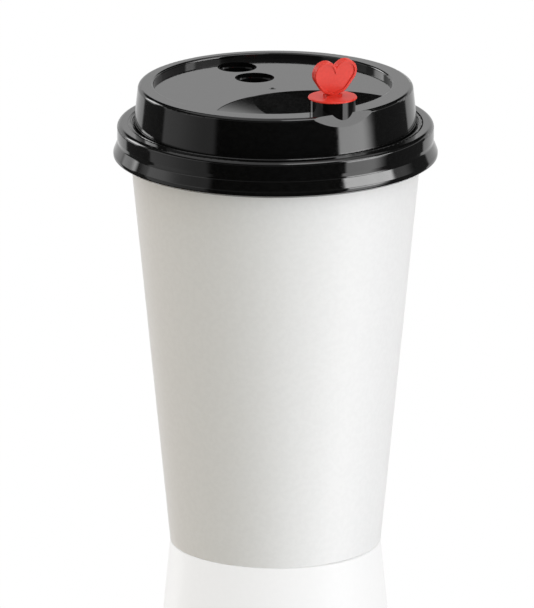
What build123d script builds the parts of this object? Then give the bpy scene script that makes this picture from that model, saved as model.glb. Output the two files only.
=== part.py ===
"""Paper cup for bubble tea, with a moulded snap-on lid and a heart-shaped plug in its drinking hole.

Frame: the origin is the centre of the cup's base, on the surface that the cup stands on. +Z is up,
and the lid's drinking spout points along -Y. Sizes are in millimetres.
"""

import os
from math import cos, radians, sin, tan

from build123d import *

# Paper cup
CUP_HEIGHT = 125.5
BASE_DIAMETER = 61.83
RIM_DIAMETER = 90.0
PAPER = 0.40
RIM_ROLL_DIAMETER = 2.4
RIM_ROLL_GAP = 0.25
RIM_ROLL_GAP_ANGLE = 228.0
BASE_EDGE_RADIUS = 0.30
BOTTOM_RECESS = 7.0
BOTTOM_PAPER = 0.35
BOTTOM_FLANGE_EDGE = 1.2
HEM_UNDER_BOTTOM = 0.5
GLUE_LINE = 0.02
SEAM_LAP = 8.0
SEAM_AZIMUTH = 70.0

# Lid skin and skirt
LID_WALL = 0.70
RIM_SIDE_CLEARANCE = 0.35
RIM_TOP_CLEARANCE = 0.10
SNAP_CLEARANCE = 0.20
SKIRT_LENGTH = 10.35
LOWER_BEAD_BULGE = 1.30
LOWER_BEAD_RISE = 0.75
LOWER_BEAD_HEIGHT = 1.0
SKIRT_EDGE_RADIUS = 0.3
LOWER_BEAD_UNDER_RADIUS = 0.6
LOWER_BEAD_RADIUS = 1.2
NECK_RISE = 4.9
NECK_RADIUS = 1.2
UPPER_BEAD_RADIUS = 1.3
CROWN_INNER_RADIUS = 0.2
CROWN_GROOVE_DIAMETER = 85.1
CROWN_GROOVE_RADIUS = 0.45
CROWN_GROOVE_DEPTH = 0.25

# Seal ring that goes down inside the cup's mouth
SEAL_CLEARANCE = 0.12
SEAL_DEPTH = 5.7
SEAL_WALL = 0.70

# Raised dome, lip and sunken deck
VALLEY_WIDTH = 0.45
VALLEY_INSET = 0.3
VALLEY_RADIUS = 0.15
VALLEY_DEPTH = 1.1
DOME_HEIGHT = 11.3
DOME_DRAFT = 6.3
DOME_EDGE_RADIUS = 1.1
LIP_WIDTH = 5.3
LIP_SHIFT = 1.75
LIP_INNER_RADIUS = 0.6
DECK_DEPTH = 1.65

# Drinking spout, its sloping basin and the scallop for the lower lip
SPOUT_INSET = 7.2
SPOUT_DIAMETER = 13.3
SPOUT_WALL = 0.9
SPOUT_RISE = 3.3
BASIN_AZIMUTH = -98.0
BASIN_DIAMETER = 60.6
BASIN_REACH = 2.95
BASIN_FLOOR_SLOPE = 5.0
BASIN_SIDE_SLOPE = 5.8
BASIN_STEP = 0.12
BASIN_INSET = 0.9
BASIN_RISE = 0.3
SCALLOP_DEPTH = 3.5
SCALLOP_SLOPE = 28.0

# Two round wells opposite the spout
WELL_AZIMUTH = 82.9
WELL_INSETS = (21.2, 8.0)
WELL_STEP_DEPTH = 1.5
WELL_STEP = 0.7
WELL_DEPTH = 4.8
VENT_DIAMETER = 1.2

# Plug
PLUG_BORE_CLEARANCE = 0.05
PLUG_SEAT_CLEARANCE = 0.05
PLUG_DISC_DIAMETER = 14.1
PLUG_DISC_THICKNESS = 0.55
PLUG_WALL = 0.70
PLUG_LAND_LENGTH = 1.4
PLUG_SHANK_LENGTH = 5.0
PLUG_LAND_RADIUS = 0.2
DISC_UNDER_RADIUS = 0.12
DISC_TOP_RADIUS = 0.30
HEART_SINK = 0.2
HEART_WIDTH = 13.9
HEART_HEIGHT = 10.7
HEART_THICKNESS = 2.2
HEART_LOBE_RADIUS = 3.7
HEART_FLANK_RADIUS = 3.3
HEART_TIP_RADIUS = 1.1
HEART_BORDER = 0.8
HEART_FACE_DEPTH = 0.35
HEART_EDGE_RADIUS = 0.25
HEART_FOOT_WIDTH = 5.2
HEART_FOOT_HEIGHT = 0.60
HEART_FOOT_OVERLAP = 0.35
HEART_LEAN = 8.0

# How far cutting shapes run past what they cut
OVERRUN = 5.0

# Places that follow from the sizes above
base_r = BASE_DIAMETER / 2
rim_r = RIM_DIAMETER / 2
roll_r = RIM_ROLL_DIAMETER / 2
roll_z = CUP_HEIGHT - roll_r
taper = (rim_r - RIM_ROLL_DIAMETER + PAPER - base_r) / roll_z
seat_r = rim_r + RIM_SIDE_CLEARANCE
crown_r = seat_r + LID_WALL
crown_z = CUP_HEIGHT + RIM_TOP_CLEARANCE + LID_WALL
neck_r = rim_r + SNAP_CLEARANCE + LID_WALL
skirt_z = crown_z - SKIRT_LENGTH
seal_z = CUP_HEIGHT - SEAL_DEPTH
dome_foot_z = crown_z - VALLEY_DEPTH
dome_top_z = crown_z + DOME_HEIGHT
deck_z = dome_top_z - DECK_DEPTH
spout_z = dome_top_z + SPOUT_RISE
spout_r = SPOUT_DIAMETER / 2
socket_r = spout_r - SPOUT_WALL
plug_z = spout_z + PLUG_SEAT_CLEARANCE


def wall_r(z):
    """Outer radius of the cup's tapered sidewall at height z."""
    return base_r + taper * z


seal_r = wall_r(seal_z) - PAPER - SEAL_CLEARANCE
valley_r = seal_r - VALLEY_INSET
dome_foot_r = valley_r - VALLEY_WIDTH
dome_top_r = dome_foot_r - (dome_top_z - dome_foot_z) * tan(radians(DOME_DRAFT))
lip_inner_r = dome_top_r - LIP_WIDTH
spout_offset = dome_top_r - SPOUT_INSET


def outline(corners):
    """Face from (r, z, corner radius) triples, in the plane through the axis."""
    points = [(r, z) for r, z, _ in corners]
    radii = [radius for _, _, radius in corners]
    return make_face(FilletPolyline(*points, radius=radii, close=True))


def turn(face):
    """Revolve a radius-height face about the cup's axis."""
    return revolve(Plane.XZ * face, Axis.Z)


def rod(radius, low, high, x=0.0, y=0.0):
    """Upright cylinder between two heights."""
    return Pos(x, y, low) * Cylinder(radius, high - low, align=(Align.CENTER, Align.CENTER, Align.MIN))


def slanted_band(inner_gap, thickness, low, high):
    """Section of a paper layer that follows the sidewall, measured inwards from its outer surface."""
    return Polygon(
        (wall_r(low) - inner_gap, low),
        (wall_r(high) - inner_gap, high),
        (wall_r(high) - inner_gap - thickness, high),
        (wall_r(low) - inner_gap - thickness, low),
        align=None,
    )


def rim_roll():
    """Section of the drinking rim: the sidewall's edge curled outwards and almost closed."""
    centre = Pos(rim_r - roll_r, roll_z)
    curl = centre * (Circle(roll_r) - Circle(roll_r - PAPER))
    mouth = Rectangle(roll_r, RIM_ROLL_GAP, align=(Align.MIN, Align.CENTER))
    return curl - centre * Rot(0, 0, RIM_ROLL_GAP_ANGLE) * mouth


def make_cup_wall():
    """Tapered sidewall with its rolled rim, the hem folded up round the bottom, and the glued side seam."""
    hem_gap = PAPER + GLUE_LINE + BOTTOM_PAPER + GLUE_LINE
    hem_top = BOTTOM_RECESS - HEM_UNDER_BOTTOM
    skin = slanted_band(0, PAPER, PAPER, roll_z)
    hem = slanted_band(hem_gap, PAPER, PAPER, hem_top)
    fold = outline(
        [
            (wall_r(0), 0, BASE_EDGE_RADIUS),
            (wall_r(PAPER), PAPER, 0),
            (wall_r(PAPER) - hem_gap - PAPER, PAPER, 0),
            (wall_r(0) - hem_gap - PAPER, 0, BASE_EDGE_RADIUS),
        ]
    )
    body = turn(skin + hem + fold + rim_roll())
    lap = turn(slanted_band(-PAPER, PAPER, BASE_EDGE_RADIUS, roll_z - roll_r))
    strip = Box(rim_r, SEAM_LAP, CUP_HEIGHT, align=(Align.MIN, Align.CENTER, Align.MIN))
    return body + (lap & (Rot(0, 0, SEAM_AZIMUTH) * strip))


def make_cup_bottom():
    """Bottom disc with its edge turned down between the sidewall and the hem."""
    top = BOTTOM_RECESS + BOTTOM_PAPER
    gap = PAPER + GLUE_LINE
    flange = slanted_band(gap, BOTTOM_PAPER, BOTTOM_FLANGE_EDGE, BOTTOM_RECESS)
    disc = outline(
        [
            (0, BOTTOM_RECESS, 0),
            (wall_r(BOTTOM_RECESS) - gap, BOTTOM_RECESS, 0),
            (wall_r(top) - gap, top, BOTTOM_PAPER / 2),
            (0, top, 0),
        ]
    )
    return turn(disc + flange)


def lid_section():
    """Everything under the lid's top surface, cut through the axis and carried past the skirt's edge."""
    below = skirt_z - OVERRUN
    bead_r = neck_r + LOWER_BEAD_BULGE
    bead_low = skirt_z + LOWER_BEAD_RISE
    return outline(
        [
            (-OVERRUN, below, 0),
            (neck_r, below, 0),
            (neck_r, skirt_z, SKIRT_EDGE_RADIUS),
            (bead_r, bead_low, LOWER_BEAD_UNDER_RADIUS),
            (bead_r, bead_low + LOWER_BEAD_HEIGHT, LOWER_BEAD_RADIUS),
            (neck_r, skirt_z + NECK_RISE, NECK_RADIUS),
            (crown_r, skirt_z + NECK_RISE + NECK_RADIUS, 0),
            (crown_r, crown_z, UPPER_BEAD_RADIUS),
            (valley_r, crown_z, CROWN_INNER_RADIUS),
            (valley_r, dome_foot_z, 0),
            (dome_foot_r, dome_foot_z, VALLEY_RADIUS),
            (dome_top_r, dome_top_z, DOME_EDGE_RADIUS),
            (-OVERRUN, dome_top_z, 0),
        ]
    )


def recess(skin):
    """Round recess whose floor is the deck; it is shifted away from the spout, so the lip is widest there."""
    return rod(lip_inner_r + skin, deck_z - skin, dome_top_z + OVERRUN, 0, LIP_SHIFT)


def on_deck(distance, azimuth):
    """Place on the deck at a distance from the middle of the recess, as x and y."""
    return distance * cos(radians(azimuth)), LIP_SHIFT + distance * sin(radians(azimuth))


def basin(skin):
    """Round pool about the spout: its floor slopes down to the spout's side, and its own side is a flat cone."""
    basin_r = BASIN_DIAMETER / 2
    top = deck_z - BASIN_STEP - skin
    drop = (lip_inner_r - BASIN_REACH) * tan(radians(BASIN_FLOOR_SLOPE))
    low = top - drop
    side = tan(radians(BASIN_SIDE_SLOPE))
    distance = BASIN_REACH + basin_r
    x = distance * cos(radians(BASIN_AZIMUTH))
    y = distance * sin(radians(BASIN_AZIMUTH))
    cone = Pos(x, y, low) * Cone(basin_r - drop / side, basin_r, drop, align=(Align.CENTER, Align.CENTER, Align.MIN))
    above = Box(rim_r * 4, rim_r * 4, rim_r, align=(Align.CENTER, Align.CENTER, Align.MIN))
    floor = Pos(0, -BASIN_REACH, top) * Rot(BASIN_FLOOR_SLOPE, 0, 0) * above
    pool = (cone & floor) + rod(basin_r, top, deck_z + OVERRUN, x, y)
    return pool & rod(lip_inner_r - BASIN_INSET + skin, low, deck_z + BASIN_RISE, 0, LIP_SHIFT)


def well(inset, skin):
    """Round stepped well in the deck, sized for the plug's shank."""
    x, y = on_deck(lip_inner_r - inset, WELL_AZIMUTH)
    wide = rod(socket_r + skin, deck_z - WELL_STEP_DEPTH - skin, deck_z + LIP_WIDTH, x, y)
    narrow = rod(socket_r - WELL_STEP + skin, deck_z - WELL_DEPTH - skin, deck_z, x, y)
    return wide + narrow


def scallop(skin):
    """Slanted cut in the dome's edge in front of the spout, where the drinker's lip rests."""
    low_z = dome_top_z - SCALLOP_DEPTH
    low_r = dome_foot_r - (low_z - dome_foot_z) * tan(radians(DOME_DRAFT))
    block = Box(dome_foot_r, dome_foot_r, dome_foot_r, align=(Align.CENTER, Align.MAX, Align.MIN))
    return Pos(0, -low_r, low_z) * Rot(-SCALLOP_SLOPE, 0, 0) * Pos(0, skin, 0) * block


def spout(skin):
    """Round spout; with a skin it is the bore, which runs out through the top."""
    root = deck_z - WELL_DEPTH
    if skin:
        return rod(socket_r, root, spout_z + OVERRUN, 0, -spout_offset)
    return rod(spout_r, root, spout_z, 0, -spout_offset)


def lid_form(skin):
    """Solid under the lid's top surface, moved inwards by the skin on every face."""
    face = lid_section()
    if skin:
        face = offset(face, amount=-skin)
    window = Pos(0, skirt_z) * Rectangle(2 * rim_r, 2 * rim_r, align=(Align.MIN, Align.MIN))
    form = turn(face & window) - recess(skin)
    if not skin:
        lip_edge = form.edges().filter_by(GeomType.CIRCLE).group_by(Axis.Z)[-1].sort_by(SortBy.RADIUS)[0]
        form = fillet(lip_edge, LIP_INNER_RADIUS)
    form = form - basin(skin) - scallop(skin)
    for inset in WELL_INSETS:
        form -= well(inset, skin)
    return form + spout(skin)


def make_lid():
    """Moulded lid: one skin of even wall, with a seal ring under the crown and a vent in one well."""
    lid = lid_form(0) - lid_form(LID_WALL)
    seal = Pos(seal_r - SEAL_WALL, seal_z) * Rectangle(
        SEAL_WALL, dome_foot_z - LID_WALL / 2 - seal_z, align=(Align.MIN, Align.MIN)
    )
    groove = Pos(CROWN_GROOVE_DIAMETER / 2, crown_z + CROWN_GROOVE_RADIUS - CROWN_GROOVE_DEPTH) * Circle(
        CROWN_GROOVE_RADIUS
    )
    vent = rod(VENT_DIAMETER / 2, skirt_z, deck_z, *on_deck(lip_inner_r - WELL_INSETS[0], WELL_AZIMUTH))
    return lid + turn(seal) - turn(groove) - vent


def heart_outline(grow=0.0):
    """Heart in its own plane, standing on the origin by its tip; each half is the hull of three circles."""
    lobe_x = HEART_WIDTH / 2 - HEART_LOBE_RADIUS
    lobe_y = HEART_HEIGHT - HEART_LOBE_RADIUS
    flank_y = (lobe_y + HEART_TIP_RADIUS) / 2
    halves = []
    for side in (-1, 1):
        circles = (
            Pos(side * lobe_x, lobe_y) * Circle(HEART_LOBE_RADIUS + grow)
            + Pos(side * lobe_x / 2, flank_y) * Circle(HEART_FLANK_RADIUS + grow)
            + Pos(0, HEART_TIP_RADIUS) * Circle(HEART_TIP_RADIUS + grow)
        )
        halves.append(make_hull(circles.edges()))
    return halves[0] + halves[1]


def make_heart():
    """Heart grip with a raised border on both faces, on a short foot, leaning a little outwards."""
    blank = extrude(Pos(0, HEART_FOOT_HEIGHT) * heart_outline(), HEART_THICKNESS / 2, both=True)
    blank = fillet(blank.faces().filter_by(Axis.Z).edges(), HEART_EDGE_RADIUS)
    foot = Box(
        HEART_FOOT_WIDTH,
        HEART_FOOT_HEIGHT + HEART_FOOT_OVERLAP,
        HEART_THICKNESS,
        align=(Align.CENTER, Align.MIN, Align.CENTER),
    )
    face = Pos(0, HEART_FOOT_HEIGHT) * heart_outline(-HEART_BORDER)
    cut = extrude(face, HEART_FACE_DEPTH)
    floor = HEART_THICKNESS / 2 - HEART_FACE_DEPTH
    heart = blank + foot - Pos(0, 0, floor) * cut - Pos(0, 0, -HEART_THICKNESS / 2) * cut
    return Rot(90 + HEART_LEAN, 0, 0) * heart


def make_plug():
    """Plug: heart grip on a disc, with a hollow stepped shank that fills the spout's bore."""
    land_r = socket_r - PLUG_BORE_CLEARANCE
    tube_r = land_r - WELL_STEP
    disc_r = PLUG_DISC_DIAMETER / 2
    land_z = plug_z - PLUG_LAND_LENGTH
    tip_z = plug_z - PLUG_SHANK_LENGTH
    top_z = plug_z + PLUG_DISC_THICKNESS
    body = outline(
        [
            (0, plug_z, 0),
            (land_r - PLUG_WALL, plug_z, 0),
            (land_r - PLUG_WALL, land_z + PLUG_WALL, 0),
            (tube_r - PLUG_WALL, land_z - PLUG_WALL / 2, 0),
            (tube_r - PLUG_WALL, tip_z, 0),
            (tube_r - PLUG_WALL / 2, tip_z, 0),
            (tube_r, tip_z + PLUG_WALL, 0),
            (tube_r, land_z - PLUG_WALL / 2, 0),
            (land_r, land_z, PLUG_LAND_RADIUS),
            (land_r, plug_z, 0),
            (disc_r, plug_z, DISC_UNDER_RADIUS),
            (disc_r, top_z, DISC_TOP_RADIUS),
            (0, top_z, 0),
        ]
    )
    return Pos(0, -spout_offset, 0) * (turn(body) + Pos(0, 0, top_z - HEART_SINK) * make_heart())


def main():
    """Write each piece to its own STEP file."""
    os.makedirs("parts", exist_ok=True)
    pieces = {
        "cup_wall": make_cup_wall(),
        "cup_bottom": make_cup_bottom(),
        "lid": make_lid(),
        "plug": make_plug(),
    }
    for name, shape in pieces.items():
        export_step(shape, f"parts/{name}.step")


main()
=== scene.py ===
"""White paper cup with a glossy black moulded lid and a red heart-shaped plug, on a glossy white floor."""

from math import cos, degrees, pi, radians, sin

import bmesh
import bpy
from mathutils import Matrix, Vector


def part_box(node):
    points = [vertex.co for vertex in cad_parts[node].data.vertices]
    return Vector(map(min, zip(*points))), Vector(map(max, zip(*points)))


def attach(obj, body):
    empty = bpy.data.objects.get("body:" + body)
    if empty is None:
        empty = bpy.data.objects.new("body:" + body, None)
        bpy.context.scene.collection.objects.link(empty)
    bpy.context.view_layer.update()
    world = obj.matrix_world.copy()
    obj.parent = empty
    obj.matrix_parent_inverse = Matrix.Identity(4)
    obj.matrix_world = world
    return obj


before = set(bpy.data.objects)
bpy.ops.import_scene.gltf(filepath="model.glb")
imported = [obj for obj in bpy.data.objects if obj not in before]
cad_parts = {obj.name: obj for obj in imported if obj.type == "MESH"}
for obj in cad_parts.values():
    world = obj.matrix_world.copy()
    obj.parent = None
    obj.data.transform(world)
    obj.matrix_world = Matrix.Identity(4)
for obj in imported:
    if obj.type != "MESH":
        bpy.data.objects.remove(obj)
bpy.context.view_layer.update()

# Camera, in metres and degrees
LENS_MM = 608.63
SENSOR_MM = 36.0
CAMERA_DISTANCE = 2.8871
CAMERA_HEIGHT = 0.8940
CAMERA_PITCH = 15.906
CAMERA_AZIMUTH = 30.0
CAMERA_SIDESTEP = 0.00248
CAMERA_REACH = 100.0

# Gate mark of the moulding, in metres: its place on the deck and its half section as (radius, height)
DECK_BELOW_SPOUT = 0.00495
RECESS_SHIFT = 0.00175
GATE_STEPS = 32
GATE_WELD = 1e-7
GATE_SECTION = (
    (0.0, 0.00022),
    (0.00022, 0.00021),
    (0.00040, 0.00014),
    (0.00052, 0.00004),
    (0.00074, 0.00003),
    (0.00088, 0.00006),
    (0.00102, 0.00004),
    (0.00112, -0.00004),
    (0.0, -0.00010),
)

# Paper. A pattern is (scale per metre, detail), a range is where its tones turn from dark to light,
# and a relief is (strength, depth in metres)
PAPER_CLOUDS = (700.0, 3.0)
PAPER_FIBRES = (2600.0, 2.0)
PAPER_RANGE = (0.35, 0.65)
PAPER_CLOUD_SHARE = 0.7
PAPER_FIBRE_SHARE = 0.3
PAPER_TONES = (0.792, 0.812)
PAPER_ROUGHNESS = 0.45
PAPER_RELIEF = (0.2, 0.00002)

# Black plastic of the lid
LID_WAVES = (90.0, 1.0)
LID_SPECKS = (900.0, 3.0)
LID_RANGE = (0.3, 0.7)
LID_TONES = (0.0023, 0.0036)
LID_ROUGHNESS = (0.05, 0.09)
LID_IOR = 1.59
LID_RELIEF = (0.15, 0.00006)

# Red plastic of the plug
PLUG_SPECKS = (1200.0, 3.0)
PLUG_RANGE = (0.3, 0.7)
PLUG_COLOURS = ((0.65, 0.032, 0.018), (0.70, 0.038, 0.022))
PLUG_ROUGHNESS = 0.38
PLUG_IOR = 1.5
PLUG_SPECULAR = 0.4
PLUG_RELIEF = (0.2, 0.00004)

# Studio floor, just under the cup's foot
FLOOR_SIZE = 30.0
FLOOR_DROP = 0.00005
FLOOR_GLOW = 0.60
FLOOR_GLOSS = 0.40
WHITE = (1.0, 1.0, 1.0, 1.0)


def grey(level):
    return (level, level, level)


# Edges of the bright fields, each as (degrees, half width of its blur). Azimuths run from straight behind
# the cup, positive to the right
ROUND_START = (-181.0, 0.5)
ROUND_END = (181.0, 0.5)
ROUND = (ROUND_START, ROUND_END)
ALL_HEIGHTS = ((-90.5, 0.5), (90.5, 0.5))
BACK_LEFT = (-40.5, 2.5)
BACK_RIGHT = (43.5, 2.0)
FRONT_LEFT = (-130.0, 6.0)
FRONT_RIGHT = (130.0, 6.0)
PANEL_EDGE = (-76.0, 1.5)
BOX = ((98.0, 8.0), (127.5, 1.5))
BAND = ((11.0, 2.0), (19.0, 2.0))
WIDE_HEIGHTS = ((-30.0, 3.0), (30.0, 3.0))
SIDE_HEIGHTS = ((-60.0, 0.5), (60.0, 0.5))

# Fields that the gloss shows, as (left and right edge, lower and upper edge, colour)
GLOSS_PANELS = (
    # white surroundings behind the cup, and a dimmer band round the sides that is dimmest in front
    ((BACK_LEFT, BACK_RIGHT), ((-30.0, 3.0), (20.0, 3.0)), grey(0.80)),
    ((BACK_RIGHT, FRONT_RIGHT), BAND, grey(0.55)),
    ((FRONT_LEFT, BACK_LEFT), BAND, grey(0.55)),
    ((FRONT_RIGHT, ROUND_END), BAND, grey(0.20)),
    ((ROUND_START, FRONT_LEFT), BAND, grey(0.20)),
    # soft box at the right with a faded far side, brightest in its middle and in a stepped strip above
    (BOX, ((-12.0, 1.5), (10.0, 2.0)), grey(4.1)),
    (BOX, ((1.0, 3.0), (10.0, 2.0)), grey(5.5)),
    (BOX, ((10.0, 2.0), (31.0, 2.0)), grey(1.0)),
    (((113.0, 3.0), (127.5, 1.5)), ((21.0, 1.5), (28.0, 2.0)), grey(6.5)),
    (((98.0, 3.0), (113.0, 3.0)), ((17.5, 1.5), (25.0, 2.0)), grey(6.5)),
    (((86.0, 2.0), (98.0, 3.0)), ((14.0, 1.5), (21.0, 2.0)), grey(6.5)),
    (BOX, ((31.0, 2.0), (40.0, 3.0)), grey(3.6)),
    (BOX, ((-45.0, 3.0), (-12.0, 1.5)), grey(2.2)),
    # wide dim panel at the left, stronger towards the back
    (((-130.0, 3.0), PANEL_EDGE), WIDE_HEIGHTS, grey(0.31)),
    (((-106.0, 16.0), PANEL_EDGE), WIDE_HEIGHTS, grey(0.20)),
    # small bright lamp behind at the left
    (((-62.0, 3.0), (-42.0, 3.0)), ((8.0, 2.0), (28.0, 3.0)), grey(5.0)),
    (((-62.0, 3.0), (-42.0, 3.0)), ((-4.0, 2.0), (8.0, 2.0)), grey(1.2)),
    # pale ceiling, with a lamp
    (ROUND, ((47.0, 3.0), (90.5, 0.5)), grey(0.70)),
    (((100.0, 5.0), (170.0, 5.0)), ((52.0, 3.0), (80.0, 5.0)), grey(2.5)),
    # dim room
    (ROUND, ALL_HEIGHTS, grey(0.01)),
    (((45.0, 3.0), (98.0, 8.0)), ALL_HEIGHTS, grey(0.05)),
    ((PANEL_EDGE, BACK_LEFT), ALL_HEIGHTS, grey(0.05)),
)

# Light on the matt surfaces: warm at the left, brighter at the right
SOFT_PANELS = (
    ((ROUND_START, (-90.0, 0.5)), SIDE_HEIGHTS, (0.348, 0.257, 0.141)),
    (((-90.0, 0.5), (-30.0, 0.5)), SIDE_HEIGHTS, (1.680, 1.720, 1.750)),
    (((-30.0, 0.5), (60.0, 0.5)), SIDE_HEIGHTS, (0.844, 0.915, 0.907)),
    (((90.0, 0.5), (150.0, 0.5)), SIDE_HEIGHTS, (1.731, 1.637, 1.592)),
    (((150.0, 0.5), ROUND_END), SIDE_HEIGHTS, (1.211, 1.479, 1.650)),
    (ROUND, ((60.0, 0.5), (90.5, 0.5)), grey(1.8)),
)


def add_camera():
    """Long lens, low over the lid, turned to the side of the spout."""
    data = bpy.data.cameras.new("camera")
    data.sensor_fit = "VERTICAL"
    data.sensor_height = SENSOR_MM
    data.lens = LENS_MM
    data.clip_end = CAMERA_REACH
    camera = bpy.data.objects.new("camera", data)
    bpy.context.scene.collection.objects.link(camera)
    turn = radians(CAMERA_AZIMUTH)
    x = -CAMERA_DISTANCE * sin(turn) - CAMERA_SIDESTEP * cos(turn)
    y = -CAMERA_DISTANCE * cos(turn) + CAMERA_SIDESTEP * sin(turn)
    camera.location = (x, y, CAMERA_HEIGHT)
    camera.rotation_euler = (radians(90.0 - CAMERA_PITCH), 0.0, -turn)
    bpy.context.scene.camera = camera


class Nodes:
    """Short way to add and link nodes in one tree."""

    def __init__(self, tree):
        self.tree = tree
        tree.nodes.clear()

    def add(self, kind, settings=None, **inputs):
        node = self.tree.nodes.new(kind)
        for name, value in (settings or {}).items():
            setattr(node, name, value)
        for name, value in inputs.items():
            self.feed(node, name.replace("_", " "), value)
        return node

    def feed(self, node, socket, value):
        target = node.inputs[socket]
        if isinstance(value, bpy.types.NodeSocket):
            self.tree.links.new(value, target)
        else:
            target.default_value = value

    def join(self, kind, *values, **settings):
        """New node with its first inputs fed in turn."""
        node = self.add(kind, settings)
        for index, value in enumerate(values):
            self.feed(node, index, value)
        return node.outputs[0]

    def math(self, operation, *values):
        return self.join("ShaderNodeMath", *values, operation=operation)

    def ramp(self, value, low, high, out_low=0.0, out_high=1.0):
        """Smooth step from one level to another between two values."""
        levels = (value, low, high, out_low, out_high)
        return self.join("ShaderNodeMapRange", *levels, interpolation_type="SMOOTHSTEP")

    def noise(self, scale, detail):
        """Noise fixed to the object."""
        place = self.add("ShaderNodeTexCoord").outputs["Object"]
        return self.add("ShaderNodeTexNoise", Vector=place, Scale=scale, Detail=detail).outputs["Fac"]

    def blend(self, share, first, second):
        """Colour between two others."""
        mix = self.add("ShaderNodeMix", {"data_type": "RGBA"})
        self.feed(mix, 0, share)
        self.feed(mix, 6, (*first, 1.0))
        self.feed(mix, 7, (*second, 1.0))
        return mix.outputs[2]


def material(name):
    made = bpy.data.materials.new(name)
    made.use_nodes = True
    return made, Nodes(made.node_tree)


def finish(nodes, shader, kind="ShaderNodeOutputMaterial"):
    nodes.feed(nodes.add(kind), "Surface", shader)


def coat(nodes, colour, height, relief, settings):
    """Shader with a colour, a fine relief and further settings of its own."""
    strength, depth = relief
    bump = nodes.add("ShaderNodeBump", Strength=strength, Distance=depth, Height=height)
    shader = nodes.add("ShaderNodeBsdfPrincipled", Normal=bump.outputs["Normal"])
    nodes.feed(shader, "Base Color", colour)
    for socket, value in settings.items():
        nodes.feed(shader, socket, value)
    finish(nodes, shader.outputs[0])


def paper():
    """Matt coated board with faint mottling and fibres."""
    made, nodes = material("cup_paper")
    clouds = nodes.noise(*PAPER_CLOUDS)
    fibres = nodes.noise(*PAPER_FIBRES)
    dark, light = PAPER_TONES
    colour = nodes.blend(nodes.ramp(clouds, *PAPER_RANGE), grey(dark), grey(light))
    soft = nodes.math("MULTIPLY", clouds, PAPER_CLOUD_SHARE)
    fine = nodes.math("MULTIPLY", fibres, PAPER_FIBRE_SHARE)
    coat(nodes, colour, nodes.math("ADD", soft, fine), PAPER_RELIEF, {"Roughness": PAPER_ROUGHNESS})
    return made


def black_plastic():
    """Glossy black moulding with very slight waves and uneven gloss."""
    made, nodes = material("lid_plastic")
    waves = nodes.noise(*LID_WAVES)
    specks = nodes.noise(*LID_SPECKS)
    dark, light = LID_TONES
    colour = nodes.blend(nodes.ramp(specks, *LID_RANGE), grey(dark), grey(light))
    rough = nodes.ramp(specks, *LID_RANGE, *LID_ROUGHNESS)
    coat(nodes, colour, waves, LID_RELIEF, {"Roughness": rough, "IOR": LID_IOR})
    return made


def red_plastic():
    """Satin red moulding."""
    made, nodes = material("plug_plastic")
    specks = nodes.noise(*PLUG_SPECKS)
    colour = nodes.blend(nodes.ramp(specks, *PLUG_RANGE), *PLUG_COLOURS)
    settings = {"Roughness": PLUG_ROUGHNESS, "IOR": PLUG_IOR, "Specular IOR Level": PLUG_SPECULAR}
    coat(nodes, colour, specks, PLUG_RELIEF, settings)
    return made


def floor_sheet():
    """White glossy floor that glows, so that it stays white all round, and is clear from below."""
    made, nodes = material("floor")
    glow = nodes.add("ShaderNodeEmission", Color=WHITE, Strength=FLOOR_GLOW)
    gloss = nodes.add("ShaderNodeBsdfGlossy", Color=(*grey(FLOOR_GLOSS), 1.0), Roughness=0.0)
    both = nodes.join("ShaderNodeAddShader", glow.outputs[0], gloss.outputs[0])
    below = nodes.add("ShaderNodeNewGeometry").outputs["Backfacing"]
    clear = nodes.add("ShaderNodeBsdfTransparent").outputs[0]
    finish(nodes, nodes.join("ShaderNodeMixShader", below, both, clear))
    half = FLOOR_SIZE / 2
    corners = [(-half, -half, 0), (half, -half, 0), (half, half, 0), (-half, half, 0)]
    mesh = bpy.data.meshes.new("floor")
    mesh.from_pydata(corners, [], [(0, 1, 2, 3)])
    mesh.materials.append(made)
    floor = bpy.data.objects.new("floor", mesh)
    bpy.context.scene.collection.objects.link(floor)
    floor.location.z = -FLOOR_DROP
    floor.visible_diffuse = False
    floor.visible_glossy = False
    floor.visible_shadow = False


def field(nodes, azimuth, elevation, across, rise, colour):
    """Bright field between its left and right edge, and its lower and upper edge."""
    mask = 1.0
    for angle, (start, end) in ((azimuth, across), (elevation, rise)):
        for (edge, blur), before, after in ((start, 0.0, 1.0), (end, 1.0, 0.0)):
            side = nodes.ramp(angle, edge - blur, edge + blur, before, after)
            mask = nodes.math("MULTIPLY", mask, side)
    lit = nodes.add("ShaderNodeVectorMath", {"operation": "SCALE"}, Scale=mask)
    nodes.feed(lit, 0, colour)
    return lit.outputs[0]


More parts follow.
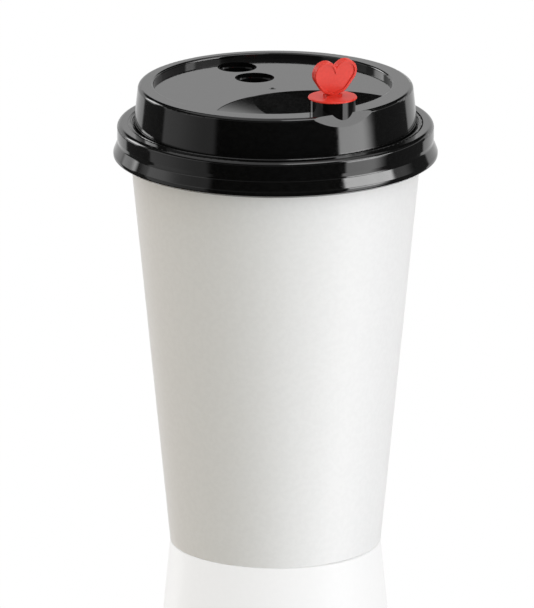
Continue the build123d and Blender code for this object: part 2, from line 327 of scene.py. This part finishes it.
def studio_world():
    """White to the eye, with soft panels for reflections and for matt light."""
    world = bpy.data.worlds.new("studio")
    bpy.context.scene.world = world
    world.use_nodes = True
    nodes = Nodes(world.node_tree)
    direction = nodes.add("ShaderNodeTexCoord").outputs["Generated"]
    turned = nodes.add("ShaderNodeMapping", {"vector_type": "POINT"}, Vector=direction)
    turned.inputs["Rotation"].default_value = (0.0, 0.0, radians(CAMERA_AZIMUTH))
    x, y, z = nodes.add("ShaderNodeSeparateXYZ", Vector=turned.outputs[0]).outputs
    azimuth = nodes.math("MULTIPLY", nodes.math("ARCTAN2", x, y), degrees(1.0))
    elevation = nodes.math("MULTIPLY", nodes.math("ARCSINE", z), degrees(1.0))

    def background(panels):
        colour = (0.0, 0.0, 0.0)
        for edges in panels:
            lit = field(nodes, azimuth, elevation, *edges)
            colour = nodes.join("ShaderNodeVectorMath", colour, lit, operation="ADD")
        return nodes.add("ShaderNodeBackground", Color=colour, Strength=1.0).outputs[0]

    paths = nodes.add("ShaderNodeLightPath").outputs
    plain = nodes.add("ShaderNodeBackground", Color=WHITE, Strength=1.0).outputs[0]
    eye = nodes.math("MAXIMUM", paths["Is Camera Ray"], paths["Is Singular Ray"])
    gloss = background(GLOSS_PANELS)
    matt = background(SOFT_PANELS)
    lights = nodes.join("ShaderNodeMixShader", paths["Is Glossy Ray"], matt, gloss)
    finish(nodes, nodes.join("ShaderNodeMixShader", eye, lights, plain), "ShaderNodeOutputWorld")


def dress(name, made):
    """Give a solid its material."""
    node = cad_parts[name]
    node.data.materials.clear()
    node.data.materials.append(made)


def gate_mark(made):
    """Small nub in a low ring in the middle of the deck, where the moulding was cut from its runner."""
    form = bmesh.new()
    section = [form.verts.new((radius, 0.0, height)) for radius, height in GATE_SECTION]
    edges = [form.edges.new(pair) for pair in zip(section, section[1:])]
    turn = {"axis": (0.0, 0.0, 1.0), "cent": (0.0, 0.0, 0.0), "angle": 2 * pi, "steps": GATE_STEPS}
    bmesh.ops.spin(form, geom=section + edges, use_merge=True, **turn)
    bmesh.ops.remove_doubles(form, verts=form.verts, dist=GATE_WELD)
    bmesh.ops.recalc_face_normals(form, faces=form.faces)
    for face in form.faces:
        face.smooth = True
    mesh = bpy.data.meshes.new("gate_mark")
    form.to_mesh(mesh)
    form.free()
    mesh.materials.append(made)
    mark = bpy.data.objects.new("gate_mark", mesh)
    bpy.context.scene.collection.objects.link(mark)
    mark.location = (0.0, RECESS_SHIFT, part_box("lid")[1].z - DECK_BELOW_SPOUT)
    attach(mark, "lid")


add_camera()
studio_world()
floor_sheet()
paper_material = paper()
dress("cup_wall", paper_material)
dress("cup_bottom", paper_material)
lid_material = black_plastic()
dress("lid", lid_material)
gate_mark(lid_material)
dress("plug", red_plastic())

scene = bpy.context.scene
scene.view_settings.view_transform = "Standard"
scene.view_settings.look = "None"
